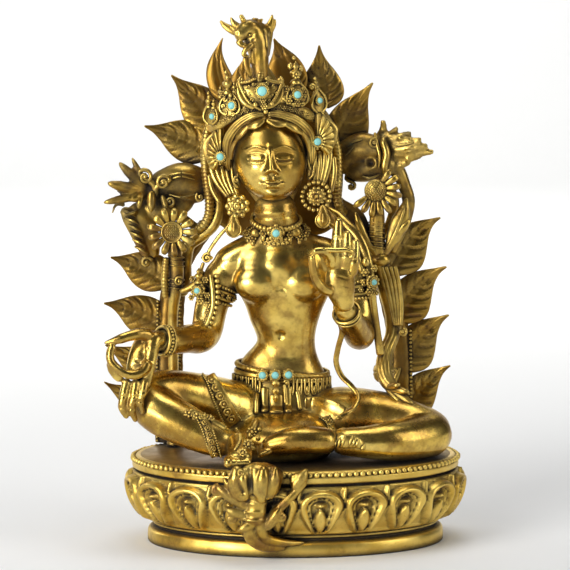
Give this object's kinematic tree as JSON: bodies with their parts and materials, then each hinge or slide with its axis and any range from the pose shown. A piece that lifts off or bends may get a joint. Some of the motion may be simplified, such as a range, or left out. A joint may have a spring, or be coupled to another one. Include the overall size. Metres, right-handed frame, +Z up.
{
  "type": "tara figure",
  "caption": "Seated gilt-bronze figure with crown, jewels and flanking lotuses before a leafy backplate, on an oval lotus base.",
  "frame": {"origin": "middle of the lotus base's underside, on the floor", "axes": "+Z up, the figure faces -Y, +X to the viewer's right"},
  "size_m": [0.2069, 0.1443, 0.3004],
  "materials": {
    "gilt_base": "fire-gilt bronze, worn, dark brown in the recesses",
    "gilt_figure": "burnished fire-gilt bronze, dark in the recesses",
    "gilt_backplate": "fire-gilt bronze, brown patina, engraved leaves",
    "gilt_lotus": "fire-gilt bronze, worn, dark in the recesses",
    "turquoise": "polished turquoise cabochons"
  },
  "bodies": {
    "root": {"lotus_base": "gilt_base", "tara_figure": "gilt_figure", "backplate": "gilt_backplate", "left_lotus": "gilt_lotus", "right_lotus": "gilt_lotus", "foot_lotus": "gilt_lotus", "crown_stone_1": "turquoise", "crown_stone_2": "turquoise", "crown_stone_3": "turquoise", "crown_stone_4": "turquoise", "crown_stone_5": "turquoise", "fan_stone_left": "turquoise", "fan_stone_right": "turquoise", "necklace_stone": "turquoise", "armlet_stone_left": "turquoise", "armlet_stone_right": "turquoise", "belt_stone_1": "turquoise", "belt_stone_2": "turquoise", "belt_stone_3": "turquoise"}
  },
  "joints": []
}
